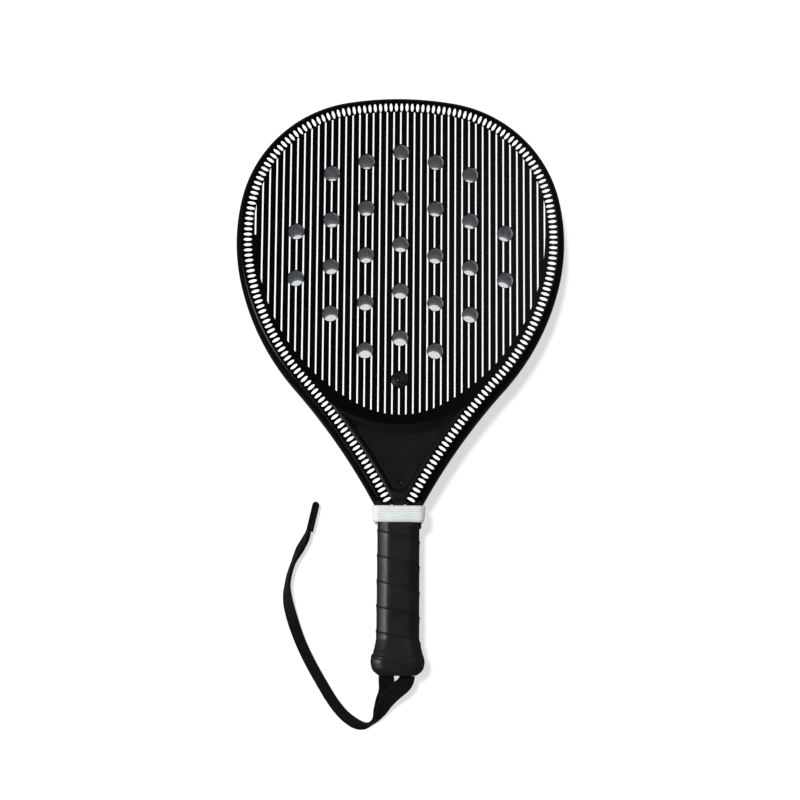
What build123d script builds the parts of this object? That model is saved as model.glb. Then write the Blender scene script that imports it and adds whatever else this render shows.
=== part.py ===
from build123d import *
import os
from math import atan2, cos, degrees, radians, sin, sqrt, tan

# A padel racket lying on its back, in millimetres.
# +Y runs along the racket from the butt to the head's tip, +Z is up out of the front face.
# The origin is under the middle of the racket's box, on the surface that it lies on.

# Overall size
LENGTH = 455.0
THICKNESS = 38.0
TIP_Y = LENGTH / 2
BUTT_Y = -LENGTH / 2
MID_Z = THICKNESS / 2

# Outline at mid-thickness, from the tip round one side: radius and turn of each rounded arc,
# then the hollow arc of the throat, which runs down to the neck
HEAD_ARCS = ((251.0, 9.85), (103.5, 67.75), (151.0, 25.15), (190.0, 28.85))
THROAT_RADIUS = 490.0
NECK_END_Y = -100.1

# Frame section: inset of the outline at each height, which bevels both edges
BEVEL_LEVELS = ((0.0, 4.5), (6.0, 1.0), (MID_Z, 0.0), (THICKNESS - 6.0, 1.0), (THICKNESS, 4.5))
FRAME_WIDTH = 13.6
CHANNEL_OUTER_INSET = 5.5
CHANNEL_INNER_INSET = 11.4
CHANNEL_FLOOR_Z = 6.0
CROTCH_Y = -93.2
CROTCH_SIDE_Y = -89.0

# Faces, core and holes
SKIN = 1.5
HOLE_DIAMETER = 12.3
HOLE_COLUMN_PITCH = 27.3
# columns either side of the middle: column number, highest hole, pitch down the column, holes
HOLE_COLUMNS = ((0, 181.0, 37.25, 5), (1, 173.1, 37.75, 5), (2, 163.1, 37.4, 4), (3, 116.0, 37.25, 2))

# Bridge and throat
PLATEAU_RADIUS = 96.5
PLATEAU_Y = -35.4
BRIDGE_RADIUS = 140.0
BRIDGE_DEPTH = 10.0
BRIDGE_TOP_Y = -8.5
PANEL_DEPTH = 7.0
POCKET_DEPTH = 5.0
RIM_INSET = 14.5
RIM_LIP = 0.8
RIM_CORNER_Y = -26.1
RIM_END_Y = -89.5
FLOOR_INSET = 18.1
FLOOR_Y = -42.1
FLOOR_CORNER_Y = -37.5
FLOOR_END_Y = -85.5
POCKET_END_ROUND = 4.0
DIMPLE_Y = -80.5
DIMPLE_DIAMETER = 4.6
DIMPLE_DEPTH = 1.0

# Blank stud in the front face
STUD_Y = -0.6
STUD_DIAMETER = 13.1
STUD_DEPTH = 3.0
STUD_RECESS = 0.5
STUD_BOSS_DIAMETER = 5.2

# Neck under the collar
NECK_SLOPE_Y = -93.1
COLLAR_TOP_Y = -98.1
NECK_THICKNESS = 30.6
COLLAR_END_Y = -110.7
COLLAR_SHOULDER_Y = -107.2
COLLAR_LIP = 2.0
COLLAR_WIDTH = 41.3
COLLAR_THICKNESS = 34.6
COLLAR_CORNER = 5.5
GROOVES = 5
GROOVE_PITCH = 1.85
GROOVE_WIDTH = 0.6
GROOVE_DEPTH = 0.6
FIRST_GROOVE_Y = -99.2

# Handle: half width and half thickness of the layers, each an octagon
SHAFT_HALF = (13.6, 12.0)
SHAFT_WALL = 2.2
CUSHION = 1.4
WRAP = 1.3
CHAMFER = 7.4
SHAFT_END_Y = -206.0
CORE_END_Y = -190.0
WRAP_TOP_Y = -102.1
TAPE_END_Y = -108.2
TAPE = 0.4

# Flared butt: distance of each section from the butt's end, and how far it stands out
# sideways and upwards past the cushion
FLARE = ((28.0, 0.4, 0.3), (20.0, 2.0, 1.7), (11.0, 4.8, 4.0), (5.0, 3.8, 3.0), (1.5, 1.0, 0.8))
CAP_END_GROW = 0.2
FIT_GAP = 0.1

# Wrist strap: flat webbing through two level slots in the butt cap
WEB_WIDTH = 8.5
WEB_THICKNESS = 1.2
LEFT_SLOT_X = -8.5
RIGHT_SLOT_X = 7.5
SLOT_WIDTH = 9.5
SLOT_HEIGHT = 2.0
CAVITY_Y = -222.0
CAVITY_DEPTH = 14.0
CAVITY_WIDTH = 28.0
CAVITY_HEIGHT = 6.0
LOOP_WIDTH = 4.2
LOOP_START = (-70.0, -115.1)
LOOP_LENGTH = 19.4
LOOP_LEAN = 12.7
WEB_FLOOR_GAP = 0.3
GUIDE_RISE = 20.0

# Routes of the strap's two legs, from the butt to the loop's end
LEFT_ROUTE = [
    (-8.5, -227.5, 19.0),
    (-8.5, -231.8, 19.0),
    (-7.6, -239.2, 12.6),
    (-10.8, -247.0, 7.6),
    (-13.2, -254.8, 3.2),
    (-16.2, -261.8, 0.9),
    (-22.0, -266.2, 0.9),
    (-29.6, -266.6, 0.9),
    (-40.3, -259.8, 0.9),
    (-49.9, -248.5, 0.9),
    (-58.6, -234.4, 0.9),
    (-67.7, -218.9, 0.9),
    (-75.7, -203.0, 0.9),
    (-82.0, -186.1, 0.9),
    (-86.4, -169.6, 0.9),
    (-86.4, -155.7, 0.9),
    (-82.4, -141.4, 0.9),
    (-76.4, -129.4, 0.9),
    (-71.4, -121.3, 0.9),
    (-70.0, -115.1, 0.9),
]
RIGHT_ROUTE = [
    (7.5, -227.5, 19.0),
    (7.5, -231.8, 19.0),
    (-0.2, -238.4, 17.9),
    (-6.6, -246.4, 12.8),
    (-11.6, -254.6, 7.8),
    (-16.0, -261.6, 3.8),
    (-21.8, -266.0, 2.6),
    (-29.4, -266.4, 2.4),
    (-40.1, -260.0, 2.4),
    (-49.7, -248.7, 2.4),
    (-58.4, -234.6, 2.4),
    (-67.5, -219.1, 2.4),
    (-75.5, -203.2, 2.4),
    (-81.8, -186.3, 2.4),
    (-86.2, -169.8, 2.4),
    (-86.2, -155.9, 2.4),
    (-82.2, -141.6, 2.4),
    (-76.2, -129.6, 2.4),
    (-71.4, -121.3, 2.4),
    (-70.0, -115.1, 2.4),
]


def on_arc(centre, radius, angle):
    """Point on a circle at an angle in degrees from +X."""
    return (centre[0] + radius * cos(radians(angle)), centre[1] + radius * sin(radians(angle)))


def walk_head():
    """Centre, radius, first angle and turn of each head arc, then the throat arc's centre and angle."""
    arcs = []
    angle = 90.0
    centre = (0.0, TIP_Y - HEAD_ARCS[0][0])
    for place, (radius, turn) in enumerate(HEAD_ARCS):
        if place:
            centre = on_arc(centre, HEAD_ARCS[place - 1][0] - radius, angle)
        arcs.append((centre, radius, angle, turn))
        angle = angle - turn
    return arcs, on_arc(centre, HEAD_ARCS[-1][0] + THROAT_RADIUS, angle), angle


HEAD_WALK, THROAT_CENTRE, THROAT_ANGLE = walk_head()


def throat_x(y, inset):
    """Half width of the throat at y, inset from the outline."""
    reach = THROAT_RADIUS + inset
    return THROAT_CENTRE[0] - sqrt(reach**2 - (y - THROAT_CENTRE[1]) ** 2)


def throat_arc(inset, start_y, end_y):
    """The hollow throat arc on the right side between two heights."""
    middle_y = (start_y + end_y) / 2
    return ThreePointArc(
        (throat_x(start_y, inset), start_y),
        (throat_x(middle_y, inset), middle_y),
        (throat_x(end_y, inset), end_y),
    )


def closed_face(right_edges, bottom_edge):
    """Face between the right side's edges, their mirror image and an edge across the bottom."""
    left_edges = [mirror(edge, about=Plane.YZ).edge() for edge in right_edges]
    return Face(Wire([*right_edges, bottom_edge, *left_edges]))


def outline_face(inset, end_y, end_arc_y=None):
    """Racket's outline, inset evenly, closed at end_y by a line or by an arc down to end_arc_y."""
    edges = [
        CenterArc(centre, radius - inset, angle, -turn) for centre, radius, angle, turn in HEAD_WALK
    ]
    last_centre, last_radius, _, _ = HEAD_WALK[-1]
    turn_y = on_arc(last_centre, last_radius - inset, THROAT_ANGLE)[1]
    edges.append(throat_arc(inset, turn_y, end_y))
    half = throat_x(end_y, inset)
    if end_arc_y is None:
        bottom = Line((-half, end_y), (half, end_y))
    else:
        bottom = ThreePointArc((-half, end_y), (0, end_arc_y), (half, end_y))
    return closed_face(edges, bottom)


def slab(face, low_z, high_z):
    """A flat face drawn on the ground, raised between two heights."""
    return extrude(Pos(0, 0, low_z) * face, amount=high_z - low_z, dir=(0, 0, 1))


def block(x_size, y_low, y_high, z_low, z_high):
    """Box centred across the racket."""
    middle = ((y_low + y_high) / 2, (z_low + z_high) / 2)
    return Pos(0, middle[0], middle[1]) * Box(x_size, y_high - y_low, z_high - z_low)


def flipped(solid):
    """The same piece on the back face."""
    return mirror(solid, about=Plane((0, 0, MID_Z), z_dir=(0, 0, 1)))


def octagon(y, half_width, half_thickness):
    """Octagonal face across the handle at y."""
    inner_x = half_width - CHAMFER
    inner_z = half_thickness - CHAMFER
    corners = [
        (half_width, -inner_z),
        (half_width, inner_z),
        (inner_x, half_thickness),
        (-inner_x, half_thickness),
        (-half_width, inner_z),
        (-half_width, -inner_z),
        (-inner_x, -half_thickness),
        (inner_x, -half_thickness),
    ]
    return Face(Wire(Polyline([(x, y, MID_Z + z) for x, z in corners], close=True).edges()))


def octagon_bar(stations):
    """Bar through octagons given as (y, growth sideways, growth upwards) from the shaft's surface."""
    width, thickness = SHAFT_HALF
    sections = [octagon(y, width + wide, thickness + thick) for y, wide, thick in stations]
    return loft(sections, ruled=True)


def straight_bar(start_y, end_y, grow):
    """Bar of one section, grown evenly from the shaft's surface."""
    return octagon_bar([(start_y, grow, grow), (end_y, grow, grow)])


def sleeve(start_y, end_y, inner, outer):
    """Tube round the handle between two layers' surfaces."""
    return straight_bar(start_y, end_y, outer) - straight_bar(start_y + 1, end_y - 1, inner)


def circle_at(y, radius):
    """Circle centred on the racket's axis."""
    return Pos(0, y) * Circle(radius)


def hole_places():
    """Centres of the face's holes."""
    places = []
    for column, top_y, pitch, count in HOLE_COLUMNS:
        for side in (-1, 1) if column else (1,):
            for row in range(count):
                places.append((side * column * HOLE_COLUMN_PITCH, top_y - row * pitch))
    return places


def drill(solid):
    """The solid with the face's holes through it."""
    for x, y in hole_places():
        solid = solid - Pos(x, y, MID_Z) * Cylinder(HOLE_DIAMETER / 2, THICKNESS * 2)
    return solid


def flat_areas():
    """Faces inside the frame: all of it, the head above the bridge, the bridge and the throat."""
    inside = outline_face(FRAME_WIDTH, CROTCH_SIDE_Y, CROTCH_Y)
    low_half = Pos(0, BRIDGE_TOP_Y - LENGTH / 2) * Rectangle(LENGTH, LENGTH)
    bridge_circle = circle_at(PLATEAU_Y + BRIDGE_DEPTH + BRIDGE_RADIUS, BRIDGE_RADIUS)
    plateau_circle = circle_at(PLATEAU_Y + PLATEAU_RADIUS, PLATEAU_RADIUS)
    below = (Sketch() + inside) & low_half
    below = below - bridge_circle
    throat = below - plateau_circle
    bridge = below & plateau_circle
    head = inside - below
    return inside, head, bridge, throat


def pocket_contour(inset, arc_y, corner_y, end_y, z):
    """Outline of the throat's pocket at one depth: two throat arcs, a round end and the plateau's arc."""
    side_end_y = end_y + POCKET_END_ROUND
    corner_x = throat_x(corner_y, inset)
    end_x = throat_x(side_end_y, inset)
    side = throat_arc(inset, corner_y, side_end_y)
    edges = [
        side,
        ThreePointArc((end_x, side_end_y), (0, end_y), (-end_x, side_end_y)),
        mirror(side, about=Plane.YZ).edge(),
        ThreePointArc((-corner_x, corner_y), (0, arc_y), (corner_x, corner_y)),
    ]
    return Pos(0, 0, z) * Face(Wire(edges))


def frame_tube():
    """Bevelled composite ring round the head and down both throat arms, hollow along its length."""
    levels = [Pos(0, 0, z) * outline_face(inset, NECK_END_Y) for z, inset in BEVEL_LEVELS]
    outer = loft(levels, ruled=True)
    inside = outline_face(FRAME_WIDTH, CROTCH_SIDE_Y, CROTCH_Y)
    channel = outline_face(CHANNEL_OUTER_INSET, NECK_END_Y - 1) - outline_face(
        CHANNEL_INNER_INSET, NECK_END_Y - 1
    )
    body = outer - slab(inside, -1, THICKNESS + 1)
    body = body - slab(channel, CHANNEL_FLOOR_Z, THICKNESS - CHANNEL_FLOOR_Z)
    drop = (THICKNESS - NECK_THICKNESS) / 2
    slope = Polyline(
        (0, NECK_SLOPE_Y, THICKNESS),
        (0, COLLAR_TOP_Y, THICKNESS - drop),
        (0, NECK_END_Y - 1, THICKNESS - drop),
        (0, NECK_END_Y - 1, THICKNESS + 1),
        (0, NECK_SLOPE_Y, THICKNESS + 1),
        close=True,
    )
    wedge = extrude(Face(Wire(slope.edges())), amount=COLLAR_WIDTH, dir=(1, 0, 0), both=True)
    return body - wedge - flipped(wedge)


def face_skin(area):
    """Composite sheet over the head's core, on the front."""
    return drill(slab(area, THICKNESS - SKIN, THICKNESS))


def throat_panel(area):
    """Moulded throat cover: a rim, a sloping pocket with a flat floor, and a dimple."""
    panel = slab(area, THICKNESS - PANEL_DEPTH, THICKNESS)
    rim = pocket_contour(RIM_INSET, PLATEAU_Y - RIM_LIP, RIM_CORNER_Y, RIM_END_Y, THICKNESS)
    floor_z = THICKNESS - POCKET_DEPTH
    floor = pocket_contour(FLOOR_INSET, FLOOR_Y, FLOOR_CORNER_Y, FLOOR_END_Y, floor_z)
    dimple = Pos(0, DIMPLE_Y, floor_z) * Cylinder(DIMPLE_DIAMETER / 2, DIMPLE_DEPTH * 2)
    return panel - loft([floor, rim], ruled=True) - dimple


def stud():
    """Blank round stud let into the front face, with a small raised centre."""
    base_top = THICKNESS - STUD_RECESS
    disc = Pos(0, STUD_Y, base_top - STUD_DEPTH / 2) * Cylinder(STUD_DIAMETER / 2, STUD_DEPTH)
    boss = Pos(0, STUD_Y, THICKNESS - STUD_RECESS) * Cylinder(STUD_BOSS_DIAMETER / 2, STUD_RECESS * 2)
    return disc + fillet(boss.edges().sort_by(Axis.Z)[-1], STUD_RECESS * 0.8)


def stud_seat():
    """Space that the stud takes out of the face and the core."""
    low = THICKNESS - STUD_RECESS - STUD_DEPTH
    return Pos(0, STUD_Y, (low + THICKNESS + 1) / 2) * Cylinder(STUD_DIAMETER / 2, THICKNESS + 1 - low)


def collar_section(y, width, thickness):
    """Rounded rectangle across the neck at y."""
    plane = Plane(origin=(0, y, MID_Z), x_dir=(1, 0, 0), z_dir=(0, -1, 0))
    return plane * RectangleRounded(width, thickness, COLLAR_CORNER)


def grip_collar():
    """Rubber ring that covers the top of the grip, ribbed by grooves round it."""
    sections = [
        collar_section(COLLAR_TOP_Y, COLLAR_WIDTH, COLLAR_THICKNESS),
        collar_section(COLLAR_SHOULDER_Y, COLLAR_WIDTH - 1.2, COLLAR_THICKNESS - 1.2),
        collar_section(COLLAR_END_Y, COLLAR_WIDTH - 4.4, COLLAR_THICKNESS - 3.0),
    ]
    ring = loft([section.face() for section in sections], ruled=True)
    for turn in range(GROOVES):
        groove_y = FIRST_GROOVE_Y - turn * GROOVE_PITCH
        shrink = 1.2 * (COLLAR_TOP_Y - groove_y) / (COLLAR_TOP_Y - COLLAR_SHOULDER_Y) + 2 * GROOVE_DEPTH
        kept = collar_section(groove_y, COLLAR_WIDTH - shrink, COLLAR_THICKNESS - shrink)
        band = collar_section(groove_y, COLLAR_WIDTH + 2, COLLAR_THICKNESS + 2)
        ring = ring - extrude((band - kept).face(), amount=GROOVE_WIDTH, dir=(0, -1, 0))
    lip_width = 2 * throat_x(COLLAR_TOP_Y, 0) + 2 * FIT_GAP
    low_z = MID_Z - NECK_THICKNESS / 2
    ring = ring - block(
        lip_width, COLLAR_TOP_Y - COLLAR_LIP, COLLAR_TOP_Y + 1, low_z, low_z + NECK_THICKNESS
    )
    return ring - straight_bar(COLLAR_TOP_Y, COLLAR_END_Y - 1, CUSHION + WRAP + TAPE)


def flare_bar(start_y, extra, end_y, end_grow):
    """Bar from a straight stretch through the flare to the butt's end, grown evenly by extra."""
    grow = CUSHION + extra
    stations = [(start_y, grow, grow)]
    if start_y > BUTT_Y + FLARE[0][0]:
        stations.append((BUTT_Y + FLARE[0][0], grow, grow))
    stations += [(BUTT_Y + back, grow + wide, grow + thick) for back, wide, thick in FLARE[1:]]
    if end_y is not None:
        stations.append((end_y, end_grow, end_grow))
    return octagon_bar(stations)


def butt_cap():
    """Flared plastic end of the handle, with a plug in the shaft, a cavity and two strap slots."""
    flare = flare_bar(SHAFT_END_Y, 0, BUTT_Y, CAP_END_GROW)
    plug = straight_bar(CORE_END_Y, SHAFT_END_Y - 1, -SHAFT_WALL - FIT_GAP)
    low_z = MID_Z - CAVITY_HEIGHT / 2
    cavity = block(CAVITY_WIDTH, CAVITY_Y, CAVITY_Y + CAVITY_DEPTH, low_z, low_z + CAVITY_HEIGHT)
    cap = flare + plug - cavity
    for slot_x in (LEFT_SLOT_X, RIGHT_SLOT_X):
        cap = cap - Pos(slot_x, BUTT_Y, MID_Z) * Box(SLOT_WIDTH, 14.0, SLOT_HEIGHT)
    return cap


def grip_wrap():
    """Wound outer grip, from under the collar to the rim of the butt."""
    outer = flare_bar(WRAP_TOP_Y, WRAP, None, 0)
    inner = flare_bar(SHAFT_END_Y, 0, BUTT_Y, CAP_END_GROW)
    return outer - inner - straight_bar(WRAP_TOP_Y + 1, SHAFT_END_Y, CUSHION)


def strap_inner_run():
    """Webbing inside the butt, laid flat and folded behind the bar between the two slots."""
    half = WEB_WIDTH / 2
    fold_y = CAVITY_Y + CAVITY_DEPTH - 1.0
    across = Polyline(
        (LEFT_SLOT_X - half, BUTT_Y),
        (LEFT_SLOT_X + half, BUTT_Y),
        (LEFT_SLOT_X + half, fold_y - WEB_WIDTH),
        (RIGHT_SLOT_X - half, fold_y - WEB_WIDTH),
        (RIGHT_SLOT_X - half, BUTT_Y),
        (RIGHT_SLOT_X + half, BUTT_Y),
        (RIGHT_SLOT_X + half, fold_y - half),
        (RIGHT_SLOT_X, fold_y),
        (LEFT_SLOT_X, fold_y),
        (LEFT_SLOT_X - half, fold_y - half),
        close=True,
    )
    band = Face(Wire(across.edges()))
    return slab(band, MID_Z - WEB_THICKNESS / 2, MID_Z + WEB_THICKNESS / 2)


def corner_radii(points):
    """Largest radius for each inner corner: 0.45 of the shorter run over the tangent of half the turn."""
    radii = []
    for before, here, after in zip(points, points[1:], points[2:]):
        into = Vector(here) - Vector(before)
        out = Vector(after) - Vector(here)
        turn = into.get_angle(out)
        shorter = min(into.length, out.length)
        radii.append(0.45 * shorter / tan(radians(turn) / 2))
    return radii


def strap_leg(name, route):
    """Flat webbing along a route, laid flat side down all the way."""
    radii = corner_radii(route)
    path = FilletPolyline(*route, radius=radii)
    heading = Vector(route[1]) - Vector(route[0])
    plane = Plane(origin=route[0], x_dir=(-heading.Y, heading.X, 0), z_dir=heading)
    spine = path.wire()
    guide = Pos(0, 0, GUIDE_RISE) * spine
    leg = sweep(plane * Rectangle(WEB_WIDTH, WEB_THICKNESS), path=spine, binormal=guide)
    share = leg.volume / (WEB_WIDTH * WEB_THICKNESS * path.length)
    print(name, "length", round(path.length, 1), "volume share", round(share, 3))
    print("  radii", [round(radius, 1) for radius in radii])
    return leg


def strap_loop_end():
    """Turn of the webbing at the strap's far end, standing on edge."""
    outer = SlotCenterToCenter(LOOP_LENGTH * 2, LOOP_WIDTH)
    inner = SlotCenterToCenter(LOOP_LENGTH * 2, LOOP_WIDTH - 2 * WEB_THICKNESS)
    half = Pos(LOOP_LENGTH, 0) * Rectangle(LOOP_LENGTH * 2, LOOP_WIDTH * 2)
    turn = (outer - inner) & half
    heading = degrees(atan2(1, tan(radians(LOOP_LEAN))))
    placed = Pos(LOOP_START[0], LOOP_START[1]) * Rot(0, 0, heading) * turn
    return slab(placed.face(), WEB_FLOOR_GAP, WEB_FLOOR_GAP + WEB_WIDTH)


def build():
    """Every piece of the racket by its node name."""
    inside, head, bridge, throat = flat_areas()
    skin_area = inside - throat
    front_skin = face_skin(skin_area)
    front_panel = throat_panel(throat)
    return {
        "frame_tube": frame_tube(),
        "throat_bridge": slab(bridge, SKIN, THICKNESS - SKIN),
        "head_core": drill(slab(head, SKIN, THICKNESS - SKIN)) - stud_seat(),
        "front_face_skin": front_skin - stud_seat(),
        "back_face_skin": flipped(front_skin),
        "throat_core": slab(throat, PANEL_DEPTH, THICKNESS - PANEL_DEPTH),
        "throat_front_panel": front_panel,
        "throat_back_panel": flipped(front_panel),
        "face_stud": stud(),
        "handle_shaft": sleeve(NECK_END_Y, SHAFT_END_Y, -SHAFT_WALL, 0),
        "handle_core": straight_bar(NECK_END_Y, CORE_END_Y, -SHAFT_WALL),
        "cushion_grip": sleeve(NECK_END_Y, SHAFT_END_Y, 0, CUSHION),
        "grip_wrap": grip_wrap(),
        "finishing_tape": sleeve(WRAP_TOP_Y, TAPE_END_Y, CUSHION + WRAP, CUSHION + WRAP + TAPE),
        "grip_collar": grip_collar(),
        "butt_cap": butt_cap(),
        "strap_inner_run": strap_inner_run(),
        "strap_left_leg": strap_leg("left leg", LEFT_ROUTE),
        "strap_right_leg": strap_leg("right leg", RIGHT_ROUTE),
        "strap_loop_end": strap_loop_end(),
    }


os.makedirs("parts", exist_ok=True)
for node, solid in build().items():
    export_step(solid, f"parts/{node}.step")
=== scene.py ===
"""Looks of a padel racket that lies on its back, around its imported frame.

Lengths are in millimetres until a mesh is stored, which turns them into metres.
+Y runs from the butt to the head's tip, and +Z out of the front face.
"""

import math

import bpy
import numpy as np
from mathutils import Euler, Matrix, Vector


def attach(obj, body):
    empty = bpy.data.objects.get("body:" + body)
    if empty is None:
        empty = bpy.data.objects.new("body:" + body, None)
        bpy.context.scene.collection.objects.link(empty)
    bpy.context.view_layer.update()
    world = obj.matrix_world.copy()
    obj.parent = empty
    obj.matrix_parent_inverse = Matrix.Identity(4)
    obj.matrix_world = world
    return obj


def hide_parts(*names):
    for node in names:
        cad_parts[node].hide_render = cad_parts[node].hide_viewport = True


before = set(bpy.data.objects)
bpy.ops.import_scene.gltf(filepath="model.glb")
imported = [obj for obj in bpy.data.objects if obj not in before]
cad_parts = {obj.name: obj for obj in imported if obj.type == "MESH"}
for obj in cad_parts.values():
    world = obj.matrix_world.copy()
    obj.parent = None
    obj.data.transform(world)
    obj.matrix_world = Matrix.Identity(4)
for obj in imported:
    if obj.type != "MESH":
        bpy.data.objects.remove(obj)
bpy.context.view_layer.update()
MM = 0.001

# ---------------------------------------------------------------- sizes
THICKNESS = 38.0
MID_Z = THICKNESS / 2
TIP_Y = 227.5
# radius, and turn in degrees, of each arc from the tip down the right side
HEAD_ARCS = ((251.0, 9.85), (103.5, 67.75), (151.0, 25.15), (190.0, 28.85))
THROAT_RADIUS = 490.0
THROAT_END_Y = -101.0
FRAME_WIDTH = 13.6
PLATEAU_RADIUS = 96.5
PLATEAU_Y = -35.4
NECK_SLOPE_Y = -93.1
NECK_DROP = 3.7
COLLAR_TOP_Y = -98.1
COLLAR_END_Y = -110.7
STUD_Y = -0.6

HOLE_RADIUS = 6.15
HOLE_COLUMN_PITCH = 27.3
# column from the middle, height of its top hole, pitch down the column, number of holes
HOLE_COLUMNS = ((0, 181.0, 37.25, 5), (1, 173.1, 37.75, 5), (2, 163.1, 37.4, 4), (3, 116.0, 37.25, 2))


# ---------------------------------------------------------------- camera
CAMERA_TARGET = (0.5, -13.98, MID_Z)
CAMERA_DISTANCE = 1305.1
CAMERA_TILT = 7.8
CAMERA_YAW = -0.8
CAMERA_TURN = 0.4
LENS = 74.79
FILM_WIDTH = 36.0


def aim_camera():
    """A long lens high over the racket, leaning towards the butt and a little to the left.

    The whole view is turned about the upright, as the racket lies slightly turned on the table.
    """
    target = Vector(CAMERA_TARGET) * MM
    facing = Euler([math.radians(angle) for angle in (CAMERA_TILT, CAMERA_YAW, CAMERA_TURN)])
    data = bpy.data.cameras.new("camera")
    data.lens = LENS
    data.sensor_width = FILM_WIDTH
    camera = bpy.data.objects.new("camera", data)
    camera.location = target + facing.to_matrix() @ Vector((0.0, 0.0, CAMERA_DISTANCE * MM))
    camera.rotation_euler = facing
    bpy.context.scene.collection.objects.link(camera)
    bpy.context.scene.camera = camera


# ---------------------------------------------------------------- meshes
def add_piece(name, points, faces, slot, nodes=(), smooth_angle=35.0):
    """A mesh piece from points in millimetres, riding on the racket and standing for CAD nodes."""
    mesh = bpy.data.meshes.new(name)
    mesh.from_pydata((np.asarray(points) * MM).tolist(), [], faces)
    mesh.update()
    mesh.validate()
    mesh.shade_smooth()
    mesh.set_sharp_from_angle(angle=math.radians(smooth_angle))
    piece = bpy.data.objects.new(name, mesh)
    bpy.context.scene.collection.objects.link(piece)
    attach(piece, "root")
    if nodes:
        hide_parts(*nodes)
    return piece


def ring_faces(rows, columns, flip=False):
    """Quads between rows of points numbered row by row, each row a closed ring."""
    row, column = np.meshgrid(np.arange(rows - 1), np.arange(columns), indexing="ij")
    row, column = row.ravel(), column.ravel()
    onward = (column + 1) % columns
    above, below = row * columns, (row + 1) * columns
    quads = np.stack([above + column, below + column, below + onward, above + onward], 1)
    if flip:
        quads = quads[:, ::-1]
    return quads.tolist()


def end_faces(rows, columns):
    """The two faces that close the first and the last ring of a tube."""
    first = list(range(columns))[::-1]
    last = [(rows - 1) * columns + column for column in range(columns)]
    return [first, last]


def joined(parts):
    """One list of points and faces from several (points, faces) pairs."""
    points, faces, first = [], [], 0
    for part_points, part_faces in parts:
        points.append(np.asarray(part_points).reshape(-1, 3))
        faces += [[corner + first for corner in face] for face in part_faces]
        first += len(points[-1])
    return np.concatenate(points), faces


def smooth_step(low, high, value):
    """0 below low, 1 above high, and an S curve between."""
    share = np.clip((value - low) / (high - low), 0, 1)
    return share * share * (3 - 2 * share)


def rounded_line(corners, radii, steps):
    """A line through corners, each inner one cut back by its radius and rounded by a quadratic curve."""
    corners = np.asarray(corners, float)
    share = np.linspace(0, 1, steps)[:, None]
    line = [corners[:1]]
    for before, here, after, radius in zip(corners, corners[1:], corners[2:], radii[1:]):
        into = here + (before - here) / np.linalg.norm(before - here) * radius
        out = here + (after - here) / np.linalg.norm(after - here) * radius
        line.append((1 - share) ** 2 * into + 2 * share * (1 - share) * here + share**2 * out)
    line.append(corners[-1:])
    return np.concatenate(line)


def evened(values, reach):
    """Values evened out by a bell shaped mean over that many neighbours on each side."""
    bell = np.hanning(2 * reach + 1)
    return np.convolve(np.pad(values, reach, mode="edge"), bell / bell.sum(), "valid")


# ---------------------------------------------------------------- outline
def walk_head():
    """Centre, radius, first angle and turn of each head arc down the right side.

    Then come the throat arc's centre and the angle at which the head's last arc ends.
    """
    arcs, angle, centre = [], 90.0, np.array([0.0, TIP_Y - HEAD_ARCS[0][0]])
    for place, (radius, turn) in enumerate(HEAD_ARCS):
        if place:
            direction = np.array([math.cos(math.radians(angle)), math.sin(math.radians(angle))])
            centre = centre + (HEAD_ARCS[place - 1][0] - radius) * direction
        arcs.append((centre, radius, angle, turn))
        angle -= turn
    direction = np.array([math.cos(math.radians(angle)), math.sin(math.radians(angle))])
    return arcs, centre + (HEAD_ARCS[-1][0] + THROAT_RADIUS) * direction, angle


HEAD_WALK, THROAT_CENTRE, THROAT_ANGLE = walk_head()


def throat_x(y, inset):
    """Half width of the throat at y, inset from the outline."""
    return THROAT_CENTRE[0] - np.sqrt((THROAT_RADIUS + inset) ** 2 - (y - THROAT_CENTRE[1]) ** 2)


def half_outline(inset, spacing):
    """Points and outward normals down the right side, about the spacing apart and moved in by the inset."""
    points, normals = [], []
    for centre, radius, angle, turn in HEAD_WALK:
        count = max(2, round(math.radians(turn) * radius / spacing))
        angles = np.radians(angle - np.linspace(0, turn, count, endpoint=False))
        out = np.stack([np.cos(angles), np.sin(angles)], 1)
        points.append(centre + out * (radius - inset))
        normals.append(out)
    start = 180 + THROAT_ANGLE
    end = math.degrees(math.asin((THROAT_END_Y - THROAT_CENTRE[1]) / THROAT_RADIUS))
    turn = (180 - end) - start
    count = round(abs(math.radians(turn)) * THROAT_RADIUS / spacing)
    angles = np.radians(start + np.linspace(0, turn, count))
    out = -np.stack([np.cos(angles), np.sin(angles)], 1)
    points.append(THROAT_CENTRE - out * (THROAT_RADIUS + inset))
    normals.append(out)
    return np.concatenate(points), np.concatenate(normals)


def whole_outline(inset, spacing):
    """Points and outward normals from the left end of the neck over the tip to the right end."""
    points, normals = half_outline(inset, spacing)
    mirror = np.array([-1.0, 1.0])
    return (
        np.concatenate([points[:0:-1] * mirror, points]),
        np.concatenate([normals[:0:-1] * mirror, normals]),
    )


def neck_scale(y):
    """Share of the full thickness left at y, which shrinks as the neck slopes down into the collar."""
    return 1 - NECK_DROP / MID_Z * smooth_step(-NECK_SLOPE_Y, -COLLAR_TOP_Y, -y)


def put_on_face(points, lift=0.0, front=True):
    """Raises flat points onto the front or back surface, following the neck's slope."""
    height = MID_Z * neck_scale(points[:, 1]) + lift
    z = MID_Z + (height if front else -height)
    return np.column_stack([points, z])


def hole_places():
    """Centres of the face's holes."""
    places = []
    for column, top_y, pitch, count in HOLE_COLUMNS:
        for side in (-1, 1) if column else (1,):
            places += [(side * column * HOLE_COLUMN_PITCH, top_y - row * pitch) for row in range(count)]
    return np.array(places)


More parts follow.
